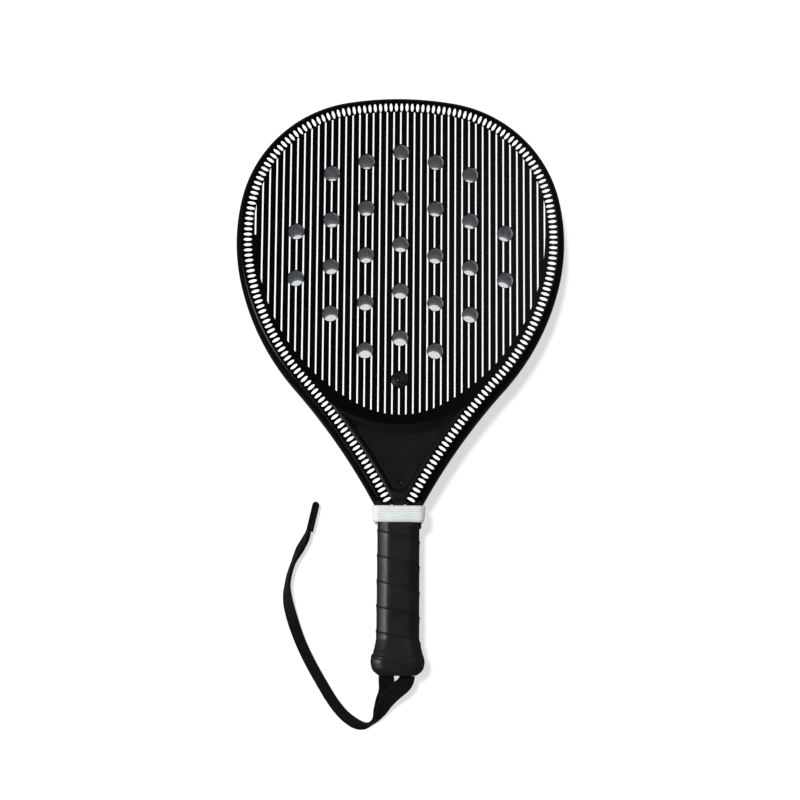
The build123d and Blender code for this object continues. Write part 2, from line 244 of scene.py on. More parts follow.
# ---------------------------------------------------------------- frame
# inset, and height above the middle, from the side to the inner edge
SECTION_CORNERS = ((0.0, 0.0), (0.1, 7.0), (1.0, 13.0), (4.5, MID_Z), (FRAME_WIDTH, MID_Z))
SECTION_RADII = (0, 3.0, 0.9, 1.6, 0)
OUTLINE_SPACING = 2.0
CREASE_DEPTH = 0.45
CREASE_WIDTH = 0.55
CREASE_HEIGHT = 15.9
CREASE_LEAN = 0.8
CREASE_START_Y = 30.0
CREASE_FULL_Y = -10.0


def build_frame():
    """The frame's section carried round the outline, with a shallow crease along each throat arm's bevels."""
    upper = rounded_line(SECTION_CORNERS, SECTION_RADII, 9)
    lower = upper[:0:-1] * np.array([1.0, -1.0])
    section = np.concatenate([lower, upper])
    points, normals = whole_outline(0.0, OUTLINE_SPACING)
    crease = CREASE_DEPTH * np.exp(-(((np.abs(section[:, 1]) - CREASE_HEIGHT) / CREASE_WIDTH) ** 2))
    on_arm = smooth_step(-CREASE_START_Y, -CREASE_FULL_Y, -points[:, 1])
    inset = section[None, :, 0] + on_arm[:, None] * crease[None, :] * CREASE_LEAN
    height = section[None, :, 1] - on_arm[:, None] * crease[None, :] * np.sign(section[None, :, 1])
    flat = points[:, None, :] - normals[:, None, :] * inset[..., None]
    z = MID_Z + height * neck_scale(flat[..., 1])
    grid = np.concatenate([flat, z[..., None]], 2)
    rows, columns = grid.shape[:2]
    faces = ring_faces(rows, columns) + end_faces(rows, columns)
    return add_piece("frame_ring", grid.reshape(-1, 3), faces, "frame_lacquer", ["frame_tube"])


# ---------------------------------------------------------------- holes
MOUTH_ROUND = 0.75
MOUTH_DEPTH = 1.6
MOUTH_GAP = 0.03
MOUTH_LIFT = 0.015
WALL_GAP = 0.02
WALL_END = 1.2
WALL_ROUGHNESS = 0.012


def turned(profile, centre, steps):
    """A profile of radius and height turned round an upright axis at centre."""
    profile = np.asarray(profile, float)
    angles = np.linspace(0, 2 * np.pi, steps, endpoint=False)
    ring = np.stack([np.cos(angles), np.sin(angles)], 1)
    grid = np.empty((len(profile), steps, 3))
    grid[..., :2] = np.asarray(centre) + profile[:, None, :1] * ring[None]
    grid[..., 2] = profile[:, None, 1]
    return grid.reshape(-1, 3), ring_faces(len(profile), steps)


def build_hole_edges():
    """Rounded mouths of the drilled holes in both skins, each a quarter round above a short straight wall."""
    share = np.linspace(0, np.pi / 2, 7)
    radius = HOLE_RADIUS - MOUTH_GAP + MOUTH_ROUND * (1 - np.cos(share))
    height = THICKNESS + MOUTH_LIFT - MOUTH_ROUND * (1 - np.sin(share))
    wall_foot = [[HOLE_RADIUS - MOUTH_GAP, THICKNESS - MOUTH_DEPTH]]
    front = np.concatenate([wall_foot, np.column_stack([radius, height])])
    back = front * np.array([1.0, -1.0]) + np.array([0.0, THICKNESS])
    parts = []
    for centre in hole_places():
        parts.append(turned(front, centre, 48))
        parts.append(turned(back[::-1], centre, 48))
    return add_piece("hole_edges", *joined(parts), "face_lacquer")


def build_hole_walls():
    """Sawn foam walls of the drilled holes, one tube to a hole, each a little uneven."""
    parts = []
    heights = np.linspace(WALL_END, THICKNESS - WALL_END, 24)
    chance = np.random.default_rng(5)
    for centre in hole_places():
        profile = np.column_stack([np.full(len(heights), HOLE_RADIUS - WALL_GAP), heights])
        points, faces = turned(profile, centre, 56)
        away = points[:, :2] - centre
        points[:, :2] = centre + away * (1 - chance.uniform(0, WALL_ROUGHNESS, (len(points), 1)))
        parts.append((points, faces))
    return add_piece("hole_walls", *joined(parts), "core_foam", smooth_angle=80.0)


# ---------------------------------------------------------------- prints
PRINT_LIFT = 0.04
STRIPES_A_SIDE = 21
STRIPE_PITCH = 5.4
STRIPE_WIDTH = 1.12
STRIPE_SHIFT = -0.58
STRIPE_INSET = 13.9
STRIPE_SLIVERS = 8
SHORTEST_STRIPE = 0.2
HOLE_MARGIN = 6.6
STUD_MARGIN = 7.0
BOWL_Y = -27.9
BOWL_RADIUS = 69.0
BOWL_TURN = 27.0
ARM_RADIUS = 150.0
# heights outside and inside the border, between which its inner edge is looked for
TOP_SEARCH = (TIP_Y, 60.0)
LOW_SEARCH = (-60.0, 100.0)
HALVINGS = 30
OVAL_LENGTH = 6.5
OVAL_WIDTH = 2.3
OVAL_PITCH = 4.2
OVAL_INSET = 10.0
OVAL_END_MARGIN = 0.5
OVAL_SIDES = 20
OVAL_NECK_LIFT = 0.35
OVAL_LIFT_START_Y = -92.0
OVAL_LIFT_FULL_Y = -95.0
BORDER_SPACING = 0.25


def inset_of(points):
    """Distance of flat points inside the head's outline, from the arc whose sector each lies in.

    A point in no arc's sector counts as endlessly far inside.
    """
    x, y = np.abs(points[:, 0]), points[:, 1]
    depth = np.full(len(x), np.inf)
    for centre, radius, angle, turn in HEAD_WALK:
        away = np.stack([x - centre[0], y - centre[1]], 1)
        bearing = np.degrees(np.arctan2(away[:, 1], away[:, 0]))
        here = (bearing <= angle + 1e-6) & (bearing >= angle - turn - 1e-6)
        depth = np.where(here, radius - np.hypot(away[:, 0], away[:, 1]), depth)
    return depth


def stripe_bottom(x):
    """Height where the stripes stop above the throat: a round bowl that runs smoothly into flatter arms."""
    reach, turn = np.abs(x), math.radians(BOWL_TURN)
    bowl_y = BOWL_Y + BOWL_RADIUS
    bend_x, bend_y = BOWL_RADIUS * math.sin(turn), bowl_y - BOWL_RADIUS * math.cos(turn)
    arm_x, arm_y = bend_x - ARM_RADIUS * math.sin(turn), bend_y + ARM_RADIUS * math.cos(turn)
    bowl = bowl_y - np.sqrt(np.maximum(BOWL_RADIUS**2 - reach**2, 0))
    arm = arm_y - np.sqrt(np.maximum(ARM_RADIUS**2 - (reach - arm_x) ** 2, 0))
    return np.where(reach < bend_x, bowl, arm)


def border_height(x, search):
    """Height where an upright line at x meets the border's inner edge, by halving the gap searched."""
    outside, inside = (np.full(len(x), height) for height in search)
    for _ in range(HALVINGS):
        middle = (outside + inside) / 2
        clear = inset_of(np.column_stack([x, middle])) > STRIPE_INSET
        outside, inside = np.where(clear, outside, middle), np.where(clear, middle, inside)
    return inside


def stripe_gaps(edges, front):
    """Upper and lower height of each hole's and the stud's ring on each edge, and whether it is met there."""
    rings = [(centre, HOLE_MARGIN) for centre in hole_places()]
    if front:
        rings.append(((0.0, STUD_Y), STUD_MARGIN))
    gaps = []
    for (x, y), margin in rings:
        reach = margin**2 - (edges - x) ** 2
        if reach.max() > 0:
            half = np.sqrt(np.maximum(reach, 0))
            gaps.append((y + half, y - half, half > 0))
    return sorted(gaps, key=lambda gap: -gap[0].max())


def stripe_parts(front):
    """Thin upright bands at an even pitch, cut off at the border and open round each hole and the stud.

    Each band is several slivers side by side. A sliver's ends are worked out at both its edges, as the
    heights where the edge meets the border or a ring round a hole.
    """
    quad = [0, 1, 2, 3] if front else [3, 2, 1, 0]
    parts = []
    for number in range(-STRIPES_A_SIDE, STRIPES_A_SIDE + 1):
        across = np.linspace(-0.5, 0.5, STRIPE_SLIVERS + 1) * STRIPE_WIDTH
        edges = STRIPE_PITCH * number + STRIPE_SHIFT + across
        if not front:
            edges = -edges[::-1]
        top = border_height(edges, TOP_SEARCH)
        bottom = np.maximum(stripe_bottom(edges), border_height(edges, LOW_SEARCH))
        gaps = stripe_gaps(edges, front)
        for sliver in range(STRIPE_SLIVERS):
            pair = slice(sliver, sliver + 2)
            heights = [top[pair]]
            for upper, lower, met in gaps:
                if met[pair].any():
                    heights += [upper[pair], lower[pair]]
            heights.append(bottom[pair])
            for high, low in zip(heights[::2], heights[1::2]):
                if (high - low).max() <= SHORTEST_STRIPE:
                    continue
                low = np.minimum(low, high)
                left, right = edges[pair]
                corners = [(left, low[0]), (right, low[1]), (right, high[1]), (left, high[0])]
                parts.append((put_on_face(np.array(corners), PRINT_LIFT, front), [quad]))
    return parts


def border_ovals(front):
    """Points and faces of the border's ovals, at an even pitch, each with its length square to the outline.

    An oval is a fan of triangles about its centre. At the neck they stand a little higher off the surface.
    """
    points, normals = whole_outline(OVAL_INSET, BORDER_SPACING)
    steps = np.linalg.norm(np.diff(points, axis=0), axis=1)
    along = np.concatenate([[0], np.cumsum(steps)])
    middle = along[-1] / 2
    count = int((middle - OVAL_END_MARGIN) / OVAL_PITCH)
    places = middle + np.arange(-count, count + 1) * OVAL_PITCH
    centre = np.stack([np.interp(places, along, points[:, axis]) for axis in (0, 1)], 1)
    out = np.stack([np.interp(places, along, normals[:, axis]) for axis in (0, 1)], 1)
    side = np.stack([out[:, 1], -out[:, 0]], 1)
    angles = np.linspace(0, 2 * np.pi, OVAL_SIDES, endpoint=False)
    outward = out[:, None] * (np.cos(angles) * OVAL_LENGTH / 2)[None, :, None]
    sideways = side[:, None] * (np.sin(angles) * OVAL_WIDTH / 2)[None, :, None]
    rings = np.concatenate([centre[:, None] + outward + sideways, centre[:, None]], 1)
    flat = rings.reshape(-1, 2)
    at_neck = smooth_step(-OVAL_LIFT_START_Y, -OVAL_LIFT_FULL_Y, -flat[:, 1])
    edge = np.arange(OVAL_SIDES)
    onward = (edge + 1) % OVAL_SIDES
    hub = np.full(OVAL_SIDES, OVAL_SIDES)
    fan = np.column_stack([onward, edge, hub] if front else [edge, onward, hub])
    starts = np.arange(0, len(flat), OVAL_SIDES + 1)
    faces = (starts[:, None, None] + fan[None]).reshape(-1, 3).tolist()
    return put_on_face(flat, PRINT_LIFT + OVAL_NECK_LIFT * at_neck, front), faces


def build_prints():
    """White ink on both faces: the pinstripes and the border of ovals."""
    for face, front in (("front", True), ("back", False)):
        add_piece(f"{face}_stripes", *joined(stripe_parts(front)), None)
        add_piece(f"{face}_ovals", *border_ovals(front), None)


# ---------------------------------------------------------------- throat
SIDE_POINTS, END_POINTS, ARC_POINTS = 40, 12, 60
COVER_INSET = FRAME_WIDTH - 0.05
COVER_SIDE_END_Y = -99.5
COVER_END_Y = -100.5
RIM_SWELL = 0.65
RIM_INSET = 16.4
RIM_DROP = 0.9
RIM_SIDE_END_Y = -83.0
RIM_END_Y = -88.0
RIM_HEIGHT = 0.1
FLOOR_INSET = 18.8
FLOOR_ARC_RADIUS = 119.8
FLOOR_ARC_Y = -43.0
FLOOR_CORNER_Y = -39.4
FLOOR_SIDE_END_Y = -81.2
FLOOR_END_Y = -85.4
FLOOR_HEIGHT = -4.95
POCKET_DEPTH = 5.0
SLOPE_EASE = (-0.12, 1.08)
DIMPLE_Y = -80.5
DIMPLE_PROFILE = ((2.5, FLOOR_HEIGHT), (2.2, -5.05), (1.7, -5.6), (0.9, -5.95), (0.05, -6.05))


def pocket_ring(inset, arc_radius, arc_y, side_top_y, side_end_y, end_y):
    """Closed flat line round the throat: right side, round end, left side, then the plateau's arc.

    The arc is scaled in height to fall from side_top_y at its ends to arc_y in the middle.
    """
    side_y = np.linspace(side_top_y, side_end_y, SIDE_POINTS, endpoint=False)
    right = np.column_stack([throat_x(side_y, inset), side_y])
    half = throat_x(side_end_y, inset)
    bearing = np.linspace(0, np.pi, END_POINTS, endpoint=False)
    end = np.column_stack([half * np.cos(bearing), side_end_y + (end_y - side_end_y) * np.sin(bearing)])
    left_y = np.linspace(side_end_y, side_top_y, SIDE_POINTS, endpoint=False)
    left = np.column_stack([-throat_x(left_y, inset), left_y])
    top_x = throat_x(side_top_y, inset)
    across = np.linspace(-top_x, top_x, ARC_POINTS, endpoint=False)
    drop = np.sqrt(arc_radius**2 - across**2) - math.sqrt(arc_radius**2 - top_x**2)
    sag = arc_radius - math.sqrt(arc_radius**2 - top_x**2)
    top = np.column_stack([across, side_top_y - drop / sag * (side_top_y - arc_y)])
    return np.concatenate([right, end, left, top])


def arc_meets_side(inset):
    """Height where the plateau's arc meets the throat's side moved in by the inset, by halving the gap."""
    low, high = -60.0, 0.0
    for _ in range(40):
        middle = (low + high) / 2
        x = throat_x(middle, inset)
        arc = PLATEAU_Y + PLATEAU_RADIUS - math.sqrt(PLATEAU_RADIUS**2 - x**2)
        low, high = (middle, high) if arc > middle else (low, middle)
    return low


def dimple_circle():
    """Unit circle with a point for each point of a pocket ring, starting upper right and going clockwise."""
    bearing = np.radians(np.concatenate([
        np.linspace(60, -40, SIDE_POINTS, endpoint=False),
        np.linspace(-40, -140, END_POINTS, endpoint=False),
        np.linspace(-140, -240, SIDE_POINTS, endpoint=False),
        np.linspace(-240, -300, ARC_POINTS, endpoint=False),
    ]))
    return np.column_stack([np.cos(bearing), np.sin(bearing)])


def build_throat(front):
    """Moulded throat cover: rings from the plateau's edge down a slope to a flat floor and a small dimple.

    Between two rings the points move straight from one to the other. Only the front has a raised round lip.
    """
    outer = pocket_ring(COVER_INSET, PLATEAU_RADIUS, PLATEAU_Y,
                        arc_meets_side(FRAME_WIDTH), COVER_SIDE_END_Y, COVER_END_Y)
    rim = pocket_ring(RIM_INSET, PLATEAU_RADIUS, PLATEAU_Y - RIM_DROP,
                      arc_meets_side(RIM_INSET) - RIM_DROP, RIM_SIDE_END_Y, RIM_END_Y)
    floor = pocket_ring(FLOOR_INSET, FLOOR_ARC_RADIUS, FLOOR_ARC_Y,
                        FLOOR_CORNER_Y, FLOOR_SIDE_END_Y, FLOOR_END_Y)
    circle, dimple = dimple_circle(), np.array([0.0, DIMPLE_Y])
    rows, heights = [], []
    for share in np.linspace(0, 1, 9):
        rows.append(outer + (rim - outer) * share)
        heights.append(RIM_SWELL * math.sin(math.pi * share) if front else 0.0)
    for share in np.linspace(0, 1, 15)[1:]:
        rows.append(rim + (floor - rim) * share)
        heights.append(RIM_HEIGHT - POCKET_DEPTH * float(smooth_step(*SLOPE_EASE, share)))
    for share in (0.15, 0.4, 0.7, 0.9):
        rows.append(floor + (dimple + circle * DIMPLE_PROFILE[0][0] - floor) * share)
        heights.append(FLOOR_HEIGHT)
    for radius, height in DIMPLE_PROFILE:
        rows.append(dimple + circle * radius)
        heights.append(height)
    grid = np.stack([put_on_face(row, height) for row, height in zip(rows, heights)])
    if not front:
        grid[..., 2] = THICKNESS - grid[..., 2]
    rows, columns = grid.shape[:2]
    faces = ring_faces(rows, columns, flip=not front)
    bottom = end_faces(rows, columns)[1]
    faces.append(bottom if front else bottom[::-1])
    face = "front" if front else "back"
    return add_piece(f"throat_{face}", grid.reshape(-1, 3), faces, "throat_lacquer",
                     [f"throat_{face}_panel"], smooth_angle=60.0)


# ---------------------------------------------------------------- stud
# radius and height of each corner, from the foot in the skin to the raised centre
STUD_CORNERS = ((6.5, 35.0), (6.5, 37.9), (5.9, 38.15), (4.4, 37.75), (2.4, 37.8), (1.6, 38.3), (0.02, 38.35))
STUD_RADII = (0, 0.2, 0.35, 0.9, 0.5, 0.3, 0)


def build_stud():
    """Blank glossy stud: a turned dish with a rounded rim and a small raised centre."""
    profile = rounded_line(STUD_CORNERS, STUD_RADII, 6)
    points, faces = turned(profile, (0.0, STUD_Y), 72)
    faces.append(end_faces(len(profile), 72)[1])
    return add_piece("stud", points, faces, "stud_gloss", ["face_stud"])


# ---------------------------------------------------------------- collar
COLLAR_HALF_WIDTH = 20.65
COLLAR_HALF_THICKNESS = 17.3
COLLAR_CORNER = 5.5
SHARPEST_CORNER = 1.0
COLLAR_TAPER = 0.6
TAPER_LENGTH = 10.5
RIBS_END_Y = -107.6
GROOVES = 5
GROOVE_PITCH = 1.85
GROOVE_START = 1.4
GROOVE_DEPTH = 0.6
GROOVE_WIDTH = 0.16
# distance below the top, and growth outwards, of the collar's upper edge
COLLAR_UPPER_EDGE = ((0.1, -4.5), (-0.15, -1.2), (0.15, -0.35), (0.8, 0.0))
# height, and growth outwards, of its lower edge
COLLAR_LOWER_EDGE = ((-108.4, -0.85), (-109.6, -1.5), (-110.4, -2.1),
                     (COLLAR_END_Y, -2.7), (COLLAR_END_Y + 0.1, -4.6))


def round_box(half_width, half_thickness, corner):
    """Closed section of a box with round corners, in x and z about the middle."""
    ring = []
    for place, (sx, sz) in enumerate([(1, -1), (1, 1), (-1, 1), (-1, -1)]):
        angles = np.radians(-90 + 90 * place + np.linspace(0, 90, 10))
        ring.append(
            np.column_stack([
                sx * (half_width - corner) + corner * np.cos(angles),
                sz * (half_thickness - corner) + corner * np.sin(angles),
            ])
        )
    return np.concatenate(ring)


def build_collar():
    """White rubber ring: a profile with round grooves carried round a box section with round corners."""
    y = np.linspace(COLLAR_TOP_Y - COLLAR_UPPER_EDGE[-1][0], RIBS_END_Y, 90)
    phase = (COLLAR_TOP_Y - GROOVE_START - y) / GROOVE_PITCH
    nearest = np.round(phase)
    in_groove = np.exp(-(((phase - nearest) / GROOVE_WIDTH) ** 2)) * (nearest >= 0) * (nearest < GROOVES)
    taper = COLLAR_TAPER * (COLLAR_TOP_Y - y) / TAPER_LENGTH
    line = [(COLLAR_TOP_Y - down, grow) for down, grow in COLLAR_UPPER_EDGE]
    line += list(zip(y, -taper - GROOVE_DEPTH * in_groove))
    line += COLLAR_LOWER_EDGE
    rows = []
    for place_y, grow in line:
        corner = max(COLLAR_CORNER + grow, SHARPEST_CORNER)
        ring = round_box(COLLAR_HALF_WIDTH + grow, COLLAR_HALF_THICKNESS + grow, corner)
        rows.append(np.column_stack([ring[:, 0], np.full(len(ring), place_y), MID_Z + ring[:, 1]]))
    grid = np.stack(rows)
    return add_piece("collar", grid.reshape(-1, 3), ring_faces(*grid.shape[:2]), "collar_rubber",
                     ["grip_collar"], smooth_angle=50.0)


# ---------------------------------------------------------------- grip
GRIP_TOP_Y = -104.0
GRIP_END_Y = -227.2
SHAFT_HALF_WIDTH = 13.6
SHAFT_HALF_THICKNESS = 12.0
SHAFT_CHAMFER = 7.4
GRIP_LAYERS = 2.7
GRIP_SETTLE = 0.1
CRISPNESS = 15.0
# height along the handle, then growth of the half width and of the half thickness
FLARE_LINE = ((GRIP_TOP_Y, 0.0, 0.0), (-199.5, 0.4, 0.3), (-207.5, 2.0, 1.7), (-216.5, 4.8, 4.0),
              (-222.5, 3.8, 3.0), (-226.0, 1.0, 0.8), (GRIP_END_Y, -2.0, -2.0))
SEAM_Y = -120.3
SEAM_PITCH = 19.3
LAP_HEIGHT = 0.6
LAP_FADE = 0.16
LAP_RISE = 0.035
SEAM_DEPTH = 0.5
SEAM_ABOVE = 0.03
SEAM_BELOW = 0.012
LAP_END_Y = (-221.0, -214.0)
RIPPLE_HEIGHT = 0.12
RIPPLE_RATE = 1.35
RIPPLE_SWAY = 3
RIPPLE_START_Y = -206.0
RIPPLE_FULL_Y = -212.0
SHOULDER_HEIGHT = 1.5
SHOULDER_Y = (-115.6, -114.2)
SHOULDER_SIDE = (0.2, 0.75)


def octagon_reach(bearing, half_width, half_thickness):
    """Distance from the axis to a soft cornered octagon: a high power mean of the distances to its flats."""
    slant = (half_width + half_thickness - SHAFT_CHAMFER) / math.sqrt(2)
    total = 0
    for turn, flat in ((0, half_width), (45, slant), (90, half_thickness), (135, slant)):
        total = total + np.abs(np.cos(bearing - math.radians(turn)) / flat) ** CRISPNESS
    return total ** (-1 / CRISPNESS)


def wrap_relief(y, bearing):
    """Height of the wound turns over the plain grip.

    The lap follows a helix. Just past it towards the butt the surface stands up and then sinks slowly,
    and just before it there is a narrow crease. The flare has fine ripples, and under the collar the right
    side stands up as a shoulder.
    """
    along = (SEAM_Y + SEAM_PITCH * (bearing / (2 * np.pi) - 0.25) - y) / SEAM_PITCH
    phase = along - np.floor(along)
    ridge = LAP_HEIGHT * np.exp(-phase / LAP_FADE) * smooth_step(0.0, LAP_RISE, phase)
    crease = np.exp(-(((1 - phase) / SEAM_ABOVE) ** 2)) + np.exp(-((phase / SEAM_BELOW) ** 2))
    ripple = RIPPLE_HEIGHT * np.sin(y * RIPPLE_RATE + RIPPLE_SWAY * np.sin(bearing))
    ripple *= smooth_step(-RIPPLE_START_Y, -RIPPLE_FULL_Y, -y)
    shoulder = SHOULDER_HEIGHT * smooth_step(*SHOULDER_Y, y) * smooth_step(*SHOULDER_SIDE, np.cos(bearing))
    return (ridge - SEAM_DEPTH * crease + ripple) * smooth_step(*LAP_END_Y, y) + shoulder


def build_grip():
    """Wound grip: an octagon tube that flares at the butt, with the relief of its wound turns."""
    y = np.linspace(GRIP_TOP_Y, GRIP_END_Y, 420)[:, None]
    bearing = np.linspace(0, 2 * np.pi, 180, endpoint=False)[None, :]
    keys, widths, thicknesses = zip(*FLARE_LINE[::-1])
    wide = evened(np.interp(y[:, 0], keys, widths), 9)[:, None]
    thick = evened(np.interp(y[:, 0], keys, thicknesses), 9)[:, None]
    half_width = SHAFT_HALF_WIDTH + GRIP_LAYERS + wide
    half_thickness = SHAFT_HALF_THICKNESS + GRIP_LAYERS + thick
    reach = octagon_reach(bearing, half_width, half_thickness)
    radius = reach + wrap_relief(y, bearing) - GRIP_SETTLE
    x, z = radius * np.cos(bearing), MID_Z + radius * np.sin(bearing)
    grid = np.stack([x, np.broadcast_to(y, x.shape), z], 2)
    rows, columns = x.shape
    faces = ring_faces(rows, columns) + end_faces(rows, columns)[:1]
    return add_piece("grip", grid.reshape(-1, 3), faces, "grip_leather", ["grip_wrap"], smooth_angle=70.0)


# ---------------------------------------------------------------- strap
LEFT_ROUTE = (
    (-8.5, -227.5, 19.0), (-8.5, -231.8, 19.0), (-7.6, -239.2, 12.6), (-10.8, -247.0, 8.2),
    (-13.2, -254.8, 5.6), (-16.2, -261.8, 4.8), (-22.0, -266.2, 3.6), (-29.6, -266.6, 2.0),
    (-40.3, -259.8, 1.2), (-49.9, -248.5, 1.1), (-58.6, -234.4, 1.1), (-67.7, -218.9, 1.1),
    (-75.7, -203.0, 1.1), (-82.2, -186.1, 1.6), (-86.9, -169.6, 3.6), (-87.0, -155.7, 4.6),
    (-83.0, -141.4, 4.7), (-77.0, -129.4, 4.7), (-72.6, -121.2, 4.7), (-71.1, -114.9, 4.7),
)
RIGHT_ROUTE = (
    (7.5, -227.5, 19.0), (7.2, -232.8, 19.0), (-0.8, -239.0, 17.9), (-7.6, -246.4, 13.2),
    (-11.6, -254.6, 9.0), (-16.0, -261.6, 6.4), (-21.8, -266.0, 4.9), (-29.4, -266.4, 3.4),
    (-40.1, -260.0, 2.6), (-49.7, -248.7, 2.6), (-58.4, -234.6, 2.6), (-67.5, -219.1, 2.6),
    (-75.5, -203.2, 2.6), (-81.6, -186.3, 3.0), (-85.7, -169.8, 4.3), (-85.7, -155.9, 4.8),
    (-81.7, -141.6, 4.8), (-75.7, -129.6, 4.8), (-70.5, -121.5, 4.8), (-68.9, -115.3, 4.8),
)
# metres
LEFT_LENGTH = 0.2277
RIGHT_LENGTH = 0.2325
# distance along the leg, turn from level in degrees, share of the flat width
LEFT_TWIST = (
    (0, 0, 1.4), (12, 2, 1.5), (24, 8, 1.4), (33, 18, 1.2), (40, 58, 0.9), (44, 70, 0.8), (50, 42, 0.95),
    (58, 8, 1), (150, 0, 1), (166, 32, 1), (180, 68, 1), (198, 76, 1), (210, 50, 1), (218, 60, 1),
    (228, 88, 1),
)
RIGHT_TWIST = (
    (0, 0, 1.4), (12, 4, 1.5), (25, 10, 1.4), (36, 20, 1.1), (45, 56, 0.9), (50, 68, 0.8), (56, 40, 0.95),
    (64, 8, 1), (154, 0, 1), (170, 32, 1), (184, 68, 1), (202, 76, 1), (214, 50, 1), (222, 60, 1),
    (233, 88, 1),
)
LOOP_TWIST = ((0, 90, 0.9), (60, 90, 0.9))
LOOP_START = (-69.2, -115.1)
LOOP_LEAN = 12.7
LOOP_RADIUS = 1.4
LOOP_OVERLAP = 1.5
LOOP_SIDE = 19.4
LOOP_HEIGHT = 4.7
LOOP_THICKNESS = 2.6
WEB_WIDTH = 8.5
WEB_THICKNESS = 1.2
WEB_POINTS = 17
RIB_DEPTH = 0.06


def smooth_route(route):
    """Points along the smooth curve that the route's points steer, from its first point to its last."""
    curve = bpy.data.curves.new("route", "CURVE")
    curve.dimensions = "3D"
    curve.resolution_u = 16
    spline = curve.splines.new("NURBS")
    spline.points.add(len(route) - 1)
    flat = np.column_stack([np.array(route) * MM, np.ones(len(route))])
    spline.points.foreach_set("co", flat.ravel())
    spline.order_u = 3
    spline.use_endpoint_u = True
    holder = bpy.data.objects.new("route", curve)
    mesh = bpy.data.meshes.new_from_object(holder)
    points = np.empty(len(mesh.vertices) * 3)
    mesh.vertices.foreach_get("co", points)
    bpy.data.objects.remove(holder)
    bpy.data.meshes.remove(mesh)
    bpy.data.curves.remove(curve)
    return points.reshape(-1, 3) / MM


def webbing_section(thickness):
    """Closed section of flat webbing, with round selvedges and a slightly ribbed face."""
    half, edge = WEB_WIDTH / 2, thickness / 2
    across = np.linspace(-half + edge, half - edge, WEB_POINTS)
    rib = RIB_DEPTH * np.cos(np.arange(WEB_POINTS) * np.pi)
    top = np.column_stack([across[::-1], edge - RIB_DEPTH + rib])
    bottom = np.column_stack([across, -edge + RIB_DEPTH - rib])
    angles = np.radians(np.linspace(90, -90, 7)[1:-1])
    right = np.column_stack([half - edge + edge * np.cos(angles), edge * np.sin(angles)])
    return np.concatenate([top[::-1], right, bottom[::-1], -right])


def build_webbing(name, points, twist, thickness, nodes):
    """Webbing section carried along a line, turned from level and spread wider as the twist says.

    At each point the section's width is the level direction square to the line turned by the twist's angle,
    and its thickness is square to both. UV runs along and across the webbing in metres.
    """
    steps = np.linalg.norm(np.diff(points, axis=0), axis=1)
    along = np.concatenate([[0], np.cumsum(steps)])
    heading = np.gradient(points, along, axis=0)
    heading /= np.linalg.norm(heading, axis=1)[:, None]
    level = np.cross(heading, [0.0, 0.0, 1.0])
    level[:, 2] = 0
    level /= np.maximum(np.linalg.norm(level, axis=1), 1e-6)[:, None]
    upper = np.cross(level, heading)
    keys, degrees, shares = zip(*twist)
    angle = evened(np.radians(np.interp(along, keys, degrees)), 6)
    share = evened(np.interp(along, keys, shares), 6)
    wide = level * np.cos(angle)[:, None] + upper * np.sin(angle)[:, None]
    thick = np.cross(heading, wide)
    section = webbing_section(thickness)
    across = share[:, None, None] * section[None, :, :1]
    grid = points[:, None] + wide[:, None] * across + thick[:, None] * section[None, :, 1:]
    rows, columns = grid.shape[:2]
    faces = ring_faces(rows, columns) + end_faces(rows, columns)
    piece = add_piece(name, grid.reshape(-1, 3), faces, "strap_webbing", nodes, smooth_angle=60.0)
    layer = piece.data.uv_layers.new(name="weave")
    corner = np.empty(len(piece.data.loops), np.int32)
    piece.data.loops.foreach_get("vertex_index", corner)
    uv = np.column_stack([np.repeat(along, columns), np.tile(section[:, 0], rows)]) * MM
    layer.data.foreach_set("uv", uv[corner].ravel())
    return piece


def loop_line():
    """Level U turn at the strap's end: out along the lean, half round, and back."""
    lean = math.radians(LOOP_LEAN)
    ahead = np.array([math.sin(lean), math.cos(lean)])
    aside = np.array([math.cos(lean), -math.sin(lean)]) * LOOP_RADIUS
    start = np.array(LOOP_START)
    out = np.linspace(-LOOP_OVERLAP, LOOP_SIDE, 15)
    bearing = np.linspace(0, np.pi, 14)[1:-1]
    first = start - aside + ahead * out[:, None]
    reach = LOOP_SIDE + LOOP_RADIUS * np.sin(bearing)
    turn = start + ahead * reach[:, None] - aside * np.cos(bearing)[:, None]
    second = start + aside + ahead * out[::-1, None]
    flat = np.concatenate([first, turn, second])
    return np.column_stack([flat, np.full(len(flat), LOOP_HEIGHT)])


def build_strap():
    """The strap's two legs as free webbing, and the turn of webbing at its far end."""
    loop_end = build_webbing("strap_loop", loop_line(), LOOP_TWIST, LOOP_THICKNESS, ["strap_loop_end"])
    legs = (("left", LEFT_ROUTE, LEFT_TWIST, LEFT_LENGTH), ("right", RIGHT_ROUTE, RIGHT_TWIST, RIGHT_LENGTH))
    for side, route, twist, length in legs:
        points = smooth_route(route)
        leg = build_webbing(f"strap_{side}", points, twist, WEB_THICKNESS, [f"strap_{side}_leg"])


# ---------------------------------------------------------------- materials
def start_material(name, colour, roughness, specular):
    """A surface with one shader, and its object coordinates."""
    material = bpy.data.materials.new(name)
    material.use_nodes = True
    tree = material.node_tree
    shader = tree.nodes["Principled BSDF"]
    shader.inputs["Base Color"].default_value = (*colour, 1)
    shader.inputs["Roughness"].default_value = roughness
    shader.inputs["Specular IOR Level"].default_value = specular
    place = tree.nodes.new("ShaderNodeTexCoord")
    return material, tree, shader, place.outputs["Object"]


def noise(tree, place, scale, detail=3.0, roughness=0.5):
    """Cloudy noise at a scale per metre."""
    node = tree.nodes.new("ShaderNodeTexNoise")
    node.inputs["Scale"].default_value = scale
    node.inputs["Detail"].default_value = detail
    node.inputs["Roughness"].default_value = roughness
    tree.links.new(place, node.inputs["Vector"])
    return node.outputs["Fac"]


